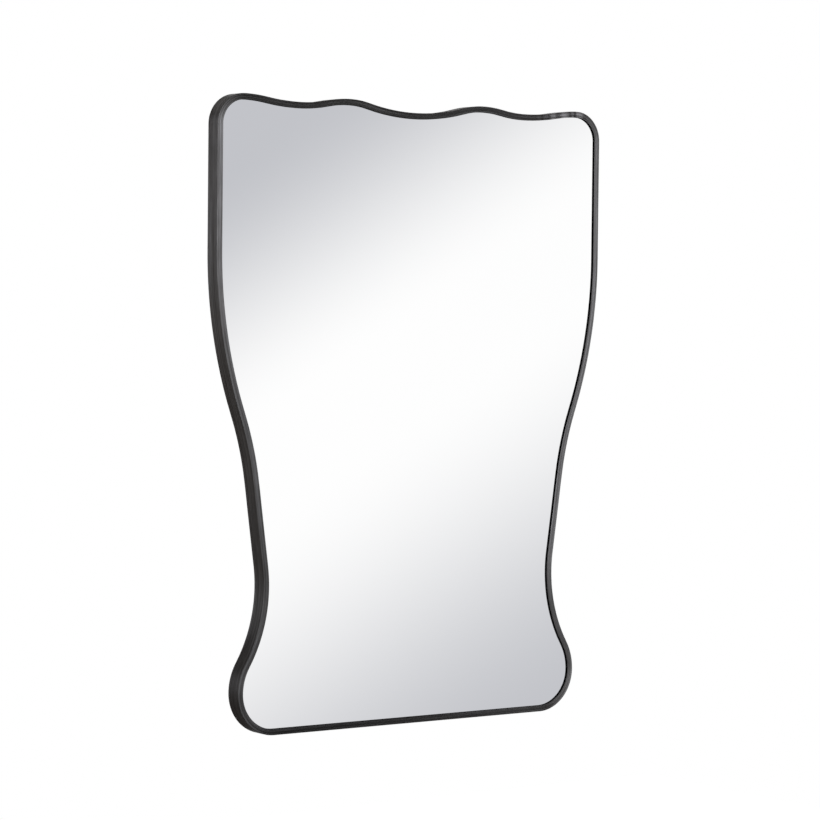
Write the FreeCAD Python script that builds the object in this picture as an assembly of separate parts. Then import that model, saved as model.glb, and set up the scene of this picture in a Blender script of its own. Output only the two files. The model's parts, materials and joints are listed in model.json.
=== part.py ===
import FreeCAD, Part
import math
import os

from FreeCAD import Vector

# A wall mirror in a narrow steel frame with a wavy top, a waist and rounded feet.
# Millimetres. X runs to the right and Z up as seen by someone who looks into the mirror, and +Y runs
# from the mirror to the wall. The wall is the plane Y = 0. The left half mirrors the right half.
# Heights are counted from the frame's lowest edge, and the finished pieces are moved down together,
# so that Z = 0 is the line through the pivots of the two D-rings.

# Outline of the frame, seen from the front
WIDTH = 685.8              # across the straight upper sides
HEIGHT = 914.4             # from the lowest edge to the crests of the top
CENTRE_DIP = 15.2          # how far the middle of the top lies below its crests
CREST_X = 120.0            # from the middle to the crest of the wave
SIDE_DIP_INSET = 140.9     # from the side of the frame to the hollow between crest and corner
SIDE_DIP = 8.2             # how far that hollow lies below the crests
CORNER_RADIUS = 44.0       # upper corners
SHOULDER_DROP = 222.4      # from the top down to the end of the straight side
FLANK_Z = 360.0            # height of the sloping flank's midpoint
FLANK_INSET = 65.0         # how far that point lies inside the straight side
FLANK_LEAN = 7.7           # degrees by which the flank leans from upright
WAIST_Z = 214.0            # height of the narrowest place
WAIST_INSET = 83.0         # how far it lies inside the straight side
FOOT_INSET = 40.5          # how far the rounded foot lies inside the straight side
FOOT_RADIUS = 62.0         # lower corners

# Each S-bend is two arcs. This is the share of the bend that its first arc takes, on the way from
# the middle of the top, round the right side, to the foot.
DIP_TO_CREST = 0.70
CREST_TO_SIDE_DIP = 0.46
SIDE_DIP_TO_CORNER = 0.60
SHOULDER_TO_FLANK = 0.70
FLANK_TO_WAIST = 0.80
WAIST_TO_FOOT = 0.72

# Frame: an L-section of sheet steel, with its edge turned in over the glass
DEPTH = 25.4               # front face to rear rim
SHEET = 1.2                # thickness of the steel
FACE_WIDTH = 9.0           # front face, from the outline to the sight edge
EDGE_CHAMFER = 0.5         # at the outer front edge
WALL_GAP = 1.0             # the bumpers hold the rear rim this far off the wall

# Glass, and what lies behind it
GLASS_THICKNESS = 3.0
GLASS_CLEARANCE = 2.0      # round the glass, inside the side wall
BLOCK_LENGTH = 40.0        # setting blocks under the glass
BLOCK_X = 110.0            # from the middle to the centre of a block
TAPE_THICKNESS = 1.0       # foam tape between glass and board
TAPE_WIDTH = 12.0
TAPE_SPACING = 170.0       # between the three strips
TAPE_MARGIN = 60.0         # from the lowest and highest edge of the frame to a strip's ends
BOARD_THICKNESS = 9.0
BOARD_CLEARANCE = 1.5      # round the board, inside the side wall

# Angle clips, welded inside the side wall, that hold the board
CLIP_WIDTH = 20.0
CLIP_FOOT = 16.0           # reach over the board
CLIP_LEG = 8.5             # height up the side wall
CLIP_THICKNESS = 1.2
CLIP_BEND_RADIUS = 1.0     # inside of the fold
CLIP_CORNER_CUT = 4.0      # off the free corners of the foot
CLIP_WELD_GAP = 0.1        # between the leg and the side wall
CLIP_SCREW_MARGIN = 6.0    # from the screw's axis to the end of the foot
CLIP_FOOT_DISTANCE = 70.4  # from the rounding of the foot to the clip on the bottom rail

# Board screws with a cheese head
SCREW_RADIUS = 1.5
SCREW_LENGTH = 8.0         # under the head
SCREW_HEAD_RADIUS = 3.2
SCREW_HEAD_HEIGHT = 2.1
SCREW_HOLE_GAP = 0.2       # round a screw in the sheet that it clamps
PILOT_GAP = 0.05           # round a screw in the board, and below its end

# Hangers: a strap rolled round the bar of a D-ring
HANGER_SPACING = 406.4     # between the middles of the two rings
HANGER_DROP = 254.0        # from the top down to the pivots
STRAP_WIDTH = 12.0
STRAP_THICKNESS = 1.2
STRAP_SCREW_PITCH = 14.0
STRAP_END = 7.0            # from the lower screw to the end of the strap
STRAP_CORNER_CUT = 3.5     # off the corners at that end
RING_WIRE_RADIUS = 1.5     # of the round bar, and half the side of the square bow
RING_FIT = 0.08            # radial clearance of the bar in the rolled loop
RING_SIDE_GAP = 1.5        # from the strap's edge to the end of the round bar
RING_CORNER_RADIUS = 3.0   # to the centre of the wire
RING_LEG = 4.5             # straight side of the ring
RING_REST_GAP = 0.33       # from the hanging ring to the strap
RING_TO_SCREW = 1.3        # from the end of the ring to the head of the upper screw

# Rubber bumpers between board and wall
BUMPER_RADIUS = 7.0
BUMPER_INSET = 45.0        # inside the side of the frame, at the shoulder and at the foot
BUMPER_MARGIN = 60.0       # from the lowest and highest edge of the frame

# Planes from front to back
REAR_RIM = -WALL_GAP
FRONT = REAR_RIM - DEPTH
GLASS_FRONT = FRONT + SHEET
TAPE_FRONT = GLASS_FRONT + GLASS_THICKNESS
BOARD_FRONT = TAPE_FRONT + TAPE_THICKNESS
BOARD_BACK = BOARD_FRONT + BOARD_THICKNESS

# Places that several pieces share
HALF_WIDTH = WIDTH / 2
PIVOT_Z = HEIGHT - HANGER_DROP
PIVOT_RISE = RING_WIRE_RADIUS + RING_FIT + STRAP_THICKNESS
RING_HALF_WIDTH = STRAP_WIDTH / 2 + RING_SIDE_GAP + RING_CORNER_RADIUS
RING_REACH = RING_CORNER_RADIUS + RING_LEG + RING_HALF_WIDTH
UPPER_SCREW_DROP = RING_REACH + RING_WIRE_RADIUS + RING_TO_SCREW + SCREW_HEAD_RADIUS
LOWER_SCREW_DROP = UPPER_SCREW_DROP + STRAP_SCREW_PITCH
CLIP_SCREW_REACH = CLIP_WELD_GAP + CLIP_FOOT - CLIP_SCREW_MARGIN

ORIGIN = Vector(0, 0, 0)
X_AXIS = Vector(1, 0, 0)
REARWARDS = Vector(0, 1, 0)
RIGHT = Vector(1, 0, 0)
LEFT = Vector(-1, 0, 0)
DOWN = Vector(0, 0, -1)
UP = Vector(0, 0, 1)
DOWN_THE_FLANK = Vector(-math.sin(math.radians(FLANK_LEAN)), 0, -math.cos(math.radians(FLANK_LEAN)))
ONE_ARC = None
PARALLEL = 1e-9
OVERCUT = 1.0              # how far a cut runs out past the metal

# Stations on the right half of the outline, clockwise: a point, and the outline's direction there
CENTRE = (Vector(0, 0, HEIGHT - CENTRE_DIP), RIGHT)
CREST = (Vector(CREST_X, 0, HEIGHT), RIGHT)
HOLLOW = (Vector(HALF_WIDTH - SIDE_DIP_INSET, 0, HEIGHT - SIDE_DIP), RIGHT)
CORNER_START = (Vector(HALF_WIDTH - CORNER_RADIUS, 0, HEIGHT), RIGHT)
CORNER_END = (Vector(HALF_WIDTH, 0, HEIGHT - CORNER_RADIUS), DOWN)
SHOULDER = (Vector(HALF_WIDTH, 0, HEIGHT - SHOULDER_DROP), DOWN)
FLANK = (Vector(HALF_WIDTH - FLANK_INSET, 0, FLANK_Z), DOWN_THE_FLANK)
WAIST = (Vector(HALF_WIDTH - WAIST_INSET, 0, WAIST_Z), DOWN)
FOOT = (Vector(HALF_WIDTH - FOOT_INSET, 0, FOOT_RADIUS), DOWN)
FOOT_END = (Vector(HALF_WIDTH - FOOT_INSET - FOOT_RADIUS, 0, 0), LEFT)
BOTTOM_RAIL = (FOOT_END[0] + LEFT * CLIP_FOOT_DISTANCE, LEFT)
BOTTOM = (ORIGIN, LEFT)

# Each stretch of the outline, and the share of its first arc where it is an S-bend
STRETCHES = [
    (CENTRE, CREST, DIP_TO_CREST),
    (CREST, HOLLOW, CREST_TO_SIDE_DIP),
    (HOLLOW, CORNER_START, SIDE_DIP_TO_CORNER),
    (CORNER_START, CORNER_END, ONE_ARC),
    (CORNER_END, SHOULDER, ONE_ARC),
    (SHOULDER, FLANK, SHOULDER_TO_FLANK),
    (FLANK, WAIST, FLANK_TO_WAIST),
    (WAIST, FOOT, WAIST_TO_FOOT),
    (FOOT, FOOT_END, ONE_ARC),
    (FOOT_END, BOTTOM, ONE_ARC),
]

CLIP_STATIONS = [HOLLOW, FLANK, BOTTOM_RAIL]


def bend(start, end, first_share):
    """The arcs of one stretch, as (first point, direction there, last point)."""
    point, way = start
    last_point, last_way = end
    if first_share is ONE_ARC:
        return [(point, way, last_point)]
    ratio = first_share / (1 - first_share)
    chord = last_point - point
    along = chord.dot(way * ratio + last_way)
    turn = 2 * ratio * (1 - way.dot(last_way))
    if turn < PARALLEL:
        reach = chord.dot(chord) / (2 * along)
    else:
        reach = (math.sqrt(along ** 2 + turn * chord.dot(chord)) - along) / turn
    knee = point + way * (ratio * reach)
    last_knee = last_point - last_way * reach
    joint = knee + (last_knee - knee) * first_share
    joint_way = (last_knee - knee).normalize()
    return [(point, way, joint), (joint, joint_way, last_point)]


def inward(way):
    """The direction into the frame, for a clockwise direction along the outline."""
    return Vector(way.z, 0, -way.x)


def moved_arc(point, way, last_point, inset, y):
    """One arc or straight of the outline, moved inwards by the inset, at the given y."""
    chord = (last_point - point).normalize()
    last_way = chord * (2 * way.dot(chord)) - way
    half_length = (last_point - point).Length / 2
    bulge = half_length * math.tan(way.getAngle(chord) / 2)
    side = -1 if way.dot(inward(chord)) > 0 else 1
    crown = (point + last_point) / 2 - inward(chord) * (bulge * side)
    level = Vector(0, y, 0)
    first = point + inward(way) * inset + level
    middle = crown + inward(chord) * inset + level
    last = last_point + inward(last_way) * inset + level
    if bulge < PARALLEL * half_length:
        return Part.LineSegment(first, last).toShape()
    return Part.Arc(first, middle, last).toShape()


def outline(inset, y):
    """The closed outline, moved inwards by the inset, as a wire at the given y."""
    edges = []
    for start, end, first_share in STRETCHES:
        for point, way, last_point in bend(start, end, first_share):
            edge = moved_arc(point, way, last_point, inset, y)
            edges.append(edge)
            edges.append(edge.mirror(ORIGIN, X_AXIS))
    return Part.Wire(Part.sortEdges(edges)[0])


def plate(inset, front, back):
    """A plate with the outline's form, moved inwards by the inset."""
    return Part.Face(outline(inset, front)).extrude(REARWARDS * (back - front))


def disc(radius, front, back, x=0.0, z=0.0):
    """A round bar along Y."""
    return Part.makeCylinder(radius, back - front, Vector(x, front, z), REARWARDS)


def on_both_sides(shape):
    """The right-hand piece and its mirror image on the left."""
    return [shape, shape.mirror(ORIGIN, X_AXIS)]


def at_station(shape, station, inset=0.0):
    """Turns a piece made for the bottom rail, with +Z into the frame, to its place on the outline."""
    point, way = station
    turned = shape.copy()
    turned.rotate(ORIGIN, REARWARDS, math.degrees(math.atan2(way.z, -way.x)))
    turned.translate(point + inward(way) * inset)
    return turned


def frame():
    """The L-section ring: side wall and front face, with a narrow chamfer between them."""
    blank = plate(0, FRONT, REAR_RIM)
    front_edges = [edge for edge in blank.Edges if edge.BoundBox.YMax < GLASS_FRONT]
    rebate = plate(SHEET, GLASS_FRONT, REAR_RIM + OVERCUT)
    sight_opening = plate(FACE_WIDTH, FRONT - OVERCUT, REAR_RIM)
    return blank.makeChamfer(EDGE_CHAMFER, front_edges).cut(rebate).cut(sight_opening)


def mirror_glass():
    return plate(SHEET + GLASS_CLEARANCE, GLASS_FRONT, TAPE_FRONT)


def setting_block():
    """The right-hand block, between the bottom rail and the lower edge of the glass."""
    corner = Vector(BLOCK_X - BLOCK_LENGTH / 2, GLASS_FRONT, SHEET)
    return Part.makeBox(BLOCK_LENGTH, BOARD_FRONT - GLASS_FRONT, GLASS_CLEARANCE, corner)


def foam_tape():
    """Three upright strips."""
    length = HEIGHT - 2 * TAPE_MARGIN
    strips = []
    for place in (-1, 0, 1):
        corner = Vector(place * TAPE_SPACING - TAPE_WIDTH / 2, TAPE_FRONT, TAPE_MARGIN)
        strips.append(Part.makeBox(TAPE_WIDTH, TAPE_THICKNESS, length, corner))
    return Part.makeCompound(strips)


def backing_board():
    """The board, with a blind pilot hole for each screw."""
    board = plate(SHEET + BOARD_CLEARANCE, BOARD_FRONT, BOARD_BACK)
    return board.cut(Part.makeCompound(clip_pilots() + hanger_pilots()))


def pilot(sheet_thickness):
    """A blind hole in the board for a screw that clamps a sheet of the given thickness."""
    depth = SCREW_LENGTH - sheet_thickness + PILOT_GAP
    return disc(SCREW_RADIUS + PILOT_GAP, BOARD_BACK - depth, BOARD_BACK)


def clip_pilots():
    hole = pilot(CLIP_THICKNESS)
    return [side for seat in clip_screw_seats() for side in on_both_sides(moved(hole, seat))]


def hanger_pilots():
    hole = pilot(STRAP_THICKNESS)
    return [side for seat in hanger_screw_seats() for side in on_both_sides(moved(hole, seat))]


def moved(shape, offset):
    copy = shape.copy()
    copy.translate(offset)
    return copy


def clip_screw_seats():
    """Places of the screws in the right-hand clips."""
    return [point + inward(way) * (SHEET + CLIP_SCREW_REACH) for point, way in CLIP_STATIONS]


def hanger_screw_seats():
    """Places of the screws in the right-hand strap."""
    drops = (UPPER_SCREW_DROP, LOWER_SCREW_DROP)
    return [Vector(HANGER_SPACING / 2, 0, PIVOT_Z - drop) for drop in drops]


def screw(sheet_thickness):
    """A screw whose head lies on a sheet of the given thickness on the board."""
    seat = BOARD_BACK + sheet_thickness
    shank = disc(SCREW_RADIUS, seat - SCREW_LENGTH, seat)
    head = disc(SCREW_HEAD_RADIUS, seat, seat + SCREW_HEAD_HEIGHT)
    return shank.fuse(head)


def clip_screws():
    one = screw(CLIP_THICKNESS)
    placed = [side for seat in clip_screw_seats() for side in on_both_sides(moved(one, seat))]
    return Part.makeCompound(placed)


def hanger_screws():
    one = screw(STRAP_THICKNESS)
    placed = [side for seat in hanger_screw_seats() for side in on_both_sides(moved(one, seat))]
    return Part.makeCompound(placed)


def tongue(width, root, tip, corner_cut, thickness):
    """A flat tongue on the board, from z = root to z = tip, with both corners at its tip cut off."""
    half = width / 2
    shoulder = tip - math.copysign(corner_cut, tip - root)
    right = [(half, root), (half, shoulder), (half - corner_cut, tip)]
    left = [(-x, z) for x, z in reversed(right)]
    corners = [Vector(x, BOARD_BACK, z) for x, z in right + left + right[:1]]
    return Part.Face(Part.makePolygon(corners)).extrude(REARWARDS * thickness)


def fold(centre, radius):
    """A quarter arc about an axis along X, from the side of the wall to the side of the board."""
    slant = radius * math.sqrt(0.5)
    start = centre + Vector(0, 0, -radius)
    end = centre + Vector(0, -radius, 0)
    return Part.Arc(start, centre + Vector(0, -slant, -slant), end)


def retaining_clip():
    """An angle of sheet on the bottom rail: a leg up the wall and a foot over the board."""
    outer_radius = CLIP_BEND_RADIUS + CLIP_THICKNESS
    tip = CLIP_WELD_GAP + CLIP_FOOT
    centre = Vector(-CLIP_WIDTH / 2, BOARD_BACK + outer_radius, CLIP_WELD_GAP + outer_radius)
    back = fold(centre, outer_radius)
    inside = fold(centre, CLIP_BEND_RADIUS)
    leg_end = REARWARDS * (CLIP_LEG - outer_radius)
    foot_end = UP * (CLIP_FOOT - outer_radius)
    lines = [
        Part.LineSegment(back.StartPoint, back.StartPoint + leg_end),
        Part.LineSegment(back.StartPoint + leg_end, inside.StartPoint + leg_end),
        Part.LineSegment(inside.StartPoint + leg_end, inside.StartPoint),
        Part.LineSegment(inside.EndPoint, inside.EndPoint + foot_end),
        Part.LineSegment(inside.EndPoint + foot_end, back.EndPoint + foot_end),
        Part.LineSegment(back.EndPoint + foot_end, back.EndPoint),
    ]
    edges = [curve.toShape() for curve in lines + [back, inside]]
    section = Part.Face(Part.Wire(Part.sortEdges(edges)[0]))
    plan = tongue(CLIP_WIDTH, CLIP_WELD_GAP, tip, CLIP_CORNER_CUT, CLIP_LEG)
    hole = disc(SCREW_RADIUS + SCREW_HOLE_GAP, BOARD_BACK, BOARD_BACK + CLIP_THICKNESS, z=CLIP_SCREW_REACH)
    return section.extrude(X_AXIS * CLIP_WIDTH).common(plan).cut(hole)


def hanger_strap():
    """The right-hand strap: a plate on the board, rolled at its top round the ring's bar."""
    plate_end = -(LOWER_SCREW_DROP + STRAP_END)
    axis_start = Vector(-STRAP_WIDTH / 2, BOARD_BACK + PIVOT_RISE, 0)
    roll = Part.makeCylinder(PIVOT_RISE, STRAP_WIDTH, axis_start, X_AXIS)
    bore = Part.makeCylinder(RING_WIRE_RADIUS + RING_FIT, STRAP_WIDTH, axis_start, X_AXIS)
    strap = tongue(STRAP_WIDTH, 0, plate_end, STRAP_CORNER_CUT, STRAP_THICKNESS).fuse(roll).cut(bore)
    for drop in (UPPER_SCREW_DROP, LOWER_SCREW_DROP):
        back = BOARD_BACK + STRAP_THICKNESS
        strap = strap.cut(disc(SCREW_RADIUS + SCREW_HOLE_GAP, BOARD_BACK, back, z=-drop))
    return moved(strap.removeSplitter(), Vector(HANGER_SPACING / 2, 0, PIVOT_Z))


def ring_outline(offset):
    """The D of the ring's wire, moved outwards by the offset, at the wire's front."""
    half = RING_HALF_WIDTH + offset
    corner = RING_CORNER_RADIUS + offset
    slant = corner * math.sqrt(0.5)
    bar_end = half - corner
    top = offset
    bow_start = -RING_CORNER_RADIUS - RING_LEG
    points = [
        (-bar_end, top),
        (bar_end, top),
        (bar_end + slant, top - corner + slant),
        (half, top - corner),
        (half, bow_start),
        (0, bow_start - half),
        (-half, bow_start),
        (-half, top - corner),
        (-bar_end - slant, top - corner + slant),
    ]
    corners = [Vector(x, -RING_WIRE_RADIUS, z) for x, z in points]
    bar, right, shoulder, side, foot, bow, other_foot, other_side, other_shoulder = corners
    curves = [
        Part.LineSegment(bar, right),
        Part.Arc(right, shoulder, side),
        Part.LineSegment(side, foot),
        Part.Arc(foot, bow, other_foot),
        Part.LineSegment(other_foot, other_side),
        Part.Arc(other_side, other_shoulder, bar),
    ]
    return Part.Wire([curve.toShape() for curve in curves])


def d_ring():
    """The right-hand ring: a square bow on a round bar, hanging just clear of the strap."""
    wire = 2 * RING_WIRE_RADIUS
    bar_length = STRAP_WIDTH + 2 * RING_SIDE_GAP
    solid = Part.Face(ring_outline(RING_WIRE_RADIUS)).extrude(REARWARDS * wire)
    opening = Part.Face(ring_outline(-RING_WIRE_RADIUS)).extrude(REARWARDS * wire)
    square_start = Vector(-bar_length / 2, -RING_WIRE_RADIUS, -RING_WIRE_RADIUS)
    square_bar = Part.makeBox(bar_length, wire, wire, square_start)
    round_bar = Part.makeCylinder(RING_WIRE_RADIUS, bar_length, Vector(-bar_length / 2, 0, 0), X_AXIS)
    ring = solid.cut(opening).cut(square_bar.cut(round_bar))
    lean = math.degrees(math.asin((RING_REST_GAP - RING_FIT) / RING_REACH))
    ring.rotate(ORIGIN, X_AXIS, lean)
    return moved(ring, Vector(HANGER_SPACING / 2, BOARD_BACK + PIVOT_RISE, PIVOT_Z))


def wall_bumper(x, z):
    """A rubber stud from the board to the wall."""
    return disc(BUMPER_RADIUS, BOARD_BACK, 0, x, z)


def pair(name, shape):
    """Names for a right-hand piece and its mirror image."""
    right, left = on_both_sides(shape)
    return {name + "_right": right, name + "_left": left}


def numbered(name, shapes):
    """Numbers for right-hand pieces, and then for their mirror images."""
    sides = list(zip(*[on_both_sides(shape) for shape in shapes]))
    everything = list(sides[0]) + list(sides[1])
    return {f"{name}_{number}": shape for number, shape in enumerate(everything, 1)}


def all_pieces():
    clip = retaining_clip()
    clips = [at_station(clip, station, SHEET) for station in CLIP_STATIONS]
    bumpers = [
        wall_bumper(HALF_WIDTH - BUMPER_INSET, HEIGHT - BUMPER_MARGIN),
        wall_bumper(HALF_WIDTH - FOOT_INSET - BUMPER_INSET, BUMPER_MARGIN),
    ]
    pieces = {
        "frame": frame(),
        "mirror_glass": mirror_glass(),
        "foam_tape": foam_tape(),
        "backing_board": backing_board(),
        "clip_screws": clip_screws(),
        "hanger_screws": hanger_screws(),
    }
    pieces.update(pair("setting_block", setting_block()))
    pieces.update(pair("hanger_strap", hanger_strap()))
    pieces.update(pair("d_ring", d_ring()))
    pieces.update(numbered("retaining_clip", clips))
    pieces.update(numbered("wall_bumper", bumpers))
    return pieces


os.makedirs("parts", exist_ok=True)
for node, piece in all_pieces().items():
    moved(piece, Vector(0, 0, -PIVOT_Z)).exportStep(f"parts/{node}.step")
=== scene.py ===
import json
import math

import bmesh
import bpy
from mathutils import Matrix, Vector


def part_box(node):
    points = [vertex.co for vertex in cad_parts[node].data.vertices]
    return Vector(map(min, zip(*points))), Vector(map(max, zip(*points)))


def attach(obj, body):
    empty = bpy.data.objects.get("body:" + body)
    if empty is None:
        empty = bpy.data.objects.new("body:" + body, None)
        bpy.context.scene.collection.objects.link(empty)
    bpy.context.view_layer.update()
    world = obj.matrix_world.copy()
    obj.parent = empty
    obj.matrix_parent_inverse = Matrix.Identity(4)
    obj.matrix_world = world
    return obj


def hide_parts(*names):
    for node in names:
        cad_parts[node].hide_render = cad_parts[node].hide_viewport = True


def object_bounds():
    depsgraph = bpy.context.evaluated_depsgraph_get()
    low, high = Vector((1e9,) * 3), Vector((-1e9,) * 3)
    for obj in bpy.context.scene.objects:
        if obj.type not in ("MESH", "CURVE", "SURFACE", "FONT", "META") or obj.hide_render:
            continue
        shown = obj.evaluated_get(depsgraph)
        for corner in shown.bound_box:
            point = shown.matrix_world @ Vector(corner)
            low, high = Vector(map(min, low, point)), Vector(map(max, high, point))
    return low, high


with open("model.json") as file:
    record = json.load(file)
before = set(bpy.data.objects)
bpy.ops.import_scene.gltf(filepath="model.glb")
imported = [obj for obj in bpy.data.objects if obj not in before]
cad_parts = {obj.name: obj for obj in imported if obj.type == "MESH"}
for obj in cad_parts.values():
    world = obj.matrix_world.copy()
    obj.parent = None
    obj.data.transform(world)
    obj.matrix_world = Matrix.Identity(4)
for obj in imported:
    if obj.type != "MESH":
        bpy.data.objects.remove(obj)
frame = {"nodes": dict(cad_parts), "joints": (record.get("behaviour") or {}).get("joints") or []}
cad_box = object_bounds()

# The mirror hangs in mid-air, as on a wall: +Y runs into the wall and +Z up, in metres.
MM = 0.001
BODY = "mirror"
NODES = frame["nodes"]

# Camera of the photograph
CAMERA_PLACE = Vector((-2.55644, -3.62748, -0.03343))
CAMERA_YAW = 0.6159
CAMERA_PITCH = -0.0371
CAMERA_ROLL = -0.0102
PICTURE_SIDE = 820
FOCAL_PIXELS = 3000
SENSOR = 36.0

# Frame, seen in section
WALL_SHEET = 1.2 * MM
FACE_WIDTH = 9.0 * MM
CAD_CHAMFER = 0.5 * MM          # of the solid's outer front edge
FRONT_EDGE_RADIUS = 0.6 * MM
SMALL_EDGE_RADIUS = 0.2 * MM
REAR_SHADE = 2.6 * MM           # width of the dark stripe beside the wall
EDGE_STEPS = 5
EDGE_MARGIN = 0.2               # of an edge's radius, from its rounding to the row that holds the flat
STEPS_PER_CHORD = 4
STRAIGHT_RATIO = 3              # a chord this many times as long as the next one is a straight
SAME_LEVEL = 0.01 * MM
MICRONS = 1e6                   # in a metre, for corners that are told apart by their place

# The silver is seen through the glass, so it seems to lie nearer than the back of the glass
SILVER_DEPTH = 2.8 * MM
GLASS_INSET = 3.2 * MM
GLASS_EDGE_RADIUS = 0.15 * MM

# Stamped and folded pieces
STAMPED_EDGE = 0.18 * MM
SHARP_ANGLE = math.radians(35)
FLAT_ANGLE = math.radians(1)
SAME_PLACE = 0.001 * MM

# Bead of weld along the end of a clip's leg
BEAD_RADIUS = 0.85 * MM
BEAD_RIPPLE = 1.3 * MM
BEAD_STEPS_PER_RIPPLE = 6
BEAD_SIDES = 12
BEAD_END = 1.2 * MM
BEAD_REACH = 6 * MM             # from the middle of the leg's end to the wall, at most
BEAD_HOLLOW = 0.80              # of the radius, between two ripples
BEAD_TIP = 0.35                 # of the radius, at both ends

# Screws
SCREW_SPACING = 7 * MM          # corners nearer than this belong to one screw
SHANK_RADIUS = 1.42 * MM
SHANK_POINT = 2.2 * MM
TIP_RADIUS = 0.355 * MM
TIP_LENGTH = 0.2 * MM
HEAD_RADIUS = 3.15 * MM
HEAD_RIM = 0.75 * MM
HEAD_STEPS = 7
HEAD_FULLNESS = 0.8             # 1 for a round dome, less for a flatter one
RECESS_REACH = 1.75 * MM
RECESS_WIDTH = 0.62 * MM
RECESS_DEPTH = 1.25 * MM
RECESS_END_REACH = 0.35         # of the reach, at the bottom of the recess
RECESS_END_WIDTH = 0.6          # of the width there
FIRST_SCREW_TURN = 0.3          # radians that the first screw is driven round
SCREW_TURN = 0.9                # and how much further each next one is
TURN_STEPS = 48

# D-rings
CAD_WIRE_RADIUS = 1.5 * MM
RING_WIRE = 1.48 * MM
RING_CORNER = 3.0 * MM
RING_LEG = 4.5 * MM
RING_LEAN = math.asin(0.25 / 18)  # the hanging ring leans out from the strap by 0.25 mm in 18
CORNER_STEPS = 8
BOW_STEPS = 32
WIRE_SIDES = 20

# Bumpers
BUMPER_EDGE = 1.3 * MM
BUMPER_EDGE_STEPS = 6
BUMPER_BASE = 0.6 * MM
BUMPER_STEP = 0.35 * MM
BUMPER_TAPER = 0.55 * MM
# The dish in the face: a share of the radius, and the depth there
BUMPER_DISH = [(0.42, 0.0), (0.36, 0.3 * MM), (0.2, 0.55 * MM), (0.0, 0.6 * MM)]

# Surroundings
FLOOR_Z = -1.4
FLOOR_REACH = 3.0
SWEEP_REPEATS = 13              # white crests round the horizon that the mirror sees
SWEEP_SLANT = 0.7
SWEEP_OFFSET = 20.5             # keeps the phase above zero, with the camera's axis at its middle
DARK_CARDS = 8                  # round the horizon, seen by rough metal alone
CARD_TURN = 0.60                # radians from the front to the middle of one card
CARD_OFFSET = 8.5               # keeps the phase above zero, with a card at its middle


# ---------------------------------------------------------------- node helpers

def new_material(name):
    material = bpy.data.materials.new(name)
    material.use_nodes = True
    nodes = material.node_tree.nodes
    nodes.clear()
    output = nodes.new("ShaderNodeOutputMaterial")
    shader = nodes.new("ShaderNodeBsdfPrincipled")
    material.node_tree.links.new(shader.outputs["BSDF"], output.inputs["Surface"])
    return material, shader


class Graph:
    """Short names for the nodes of one node tree."""

    def __init__(self, tree):
        self.tree = tree

    def node(self, kind, **settings):
        made = self.tree.nodes.new(kind)
        for name, value in settings.items():
            setattr(made, name, value)
        return made

    def link(self, source, target):
        self.tree.links.new(source, target)

    def put(self, socket, value):
        """Sets a socket to a number or colour, or links it to another socket."""
        if isinstance(value, bpy.types.NodeSocket):
            self.link(value, socket)
        else:
            socket.default_value = value

    def math(self, operation, first, second=0.0, third=0.0):
        made = self.node("ShaderNodeMath", operation=operation)
        for socket, value in zip(made.inputs, (first, second, third)):
            self.put(socket, value)
        return made.outputs[0]

    def ramp(self, factor, stops, mode="LINEAR"):
        """A colour ramp from (position, colour) stops, where a colour may be one grey value."""
        made = self.node("ShaderNodeValToRGB")
        made.color_ramp.interpolation = mode
        elements = made.color_ramp.elements
        while len(elements) < len(stops):
            elements.new(0.5)
        for element, (position, colour) in zip(elements, stops):
            element.position = position
            element.color = grey(colour) if isinstance(colour, (int, float)) else (*colour, 1)
        self.link(factor, made.inputs["Fac"])
        return made.outputs["Color"]

    def mix(self, factor, first, second, blend="MIX"):
        made = self.node("ShaderNodeMix", data_type="RGBA", blend_type=blend)
        self.put(made.inputs[0], factor)
        self.put(made.inputs[6], first)
        self.put(made.inputs[7], second)
        return made.outputs[2]

    def noise(self, vector, scale, detail=2.0, roughness=0.5, distortion=0.0):
        made = self.node("ShaderNodeTexNoise")
        self.link(vector, made.inputs["Vector"])
        made.inputs["Scale"].default_value = scale
        made.inputs["Detail"].default_value = detail
        made.inputs["Roughness"].default_value = roughness
        made.inputs["Distortion"].default_value = distortion
        return made.outputs["Fac"]

    def stretched(self, vector, scale):
        made = self.node("ShaderNodeMapping")
        self.link(vector, made.inputs["Vector"])
        made.inputs["Scale"].default_value = scale
        return made.outputs["Vector"]

    def coordinates(self, kind):
        return self.node("ShaderNodeTexCoord").outputs[kind]

    def split(self, vector):
        """The x, y and z of a vector."""
        made = self.node("ShaderNodeSeparateXYZ")
        self.link(vector, made.inputs[0])
        return made.outputs

    def bump(self, height, strength, distance, over=None):
        """The normal of a bumpy surface, which may lie over another one."""
        made = self.node("ShaderNodeBump")
        made.inputs["Strength"].default_value = strength
        made.inputs["Distance"].default_value = distance
        self.link(height, made.inputs["Height"])
        if over is not None:
            self.link(over, made.inputs["Normal"])
        return made.outputs["Normal"]


def grey(value):
    return (value, value, value, 1)


# ---------------------------------------------------------------- materials

def painted_shade_below_waist(graph, place):
    """Painted shade and light below the waist: the colour is darker to the left and lighter to the
    right.
    """
    low = graph.ramp(graph.math("ADD", place[2], 0.7), [(0.20, 1.0), (0.60, 0.0)])
    sideways = graph.ramp(graph.math("ADD", place[0], 0.5), [(0.15, 0.62), (0.85, 1.12)])
    return graph.mix(low, grey(1.0), sideways)


def weld_and_highlight_mask(graph, place):
    """One at the upper right crest, where the ring's joint is ground flush and a painted highlight
    lightens the colour, and zero elsewhere.
    """
    sideways = graph.ramp(graph.math("MULTIPLY_ADD", place[0], 5.0, -1.0),
                          [(0.10, 0.0), (0.24, 1.0), (0.48, 1.0), (0.66, 0.0)], "EASE")
    high = graph.ramp(place[2], [(0.20, 0.0), (0.23, 1.0)])
    return graph.math("MULTIPLY", sideways, high)


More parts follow.
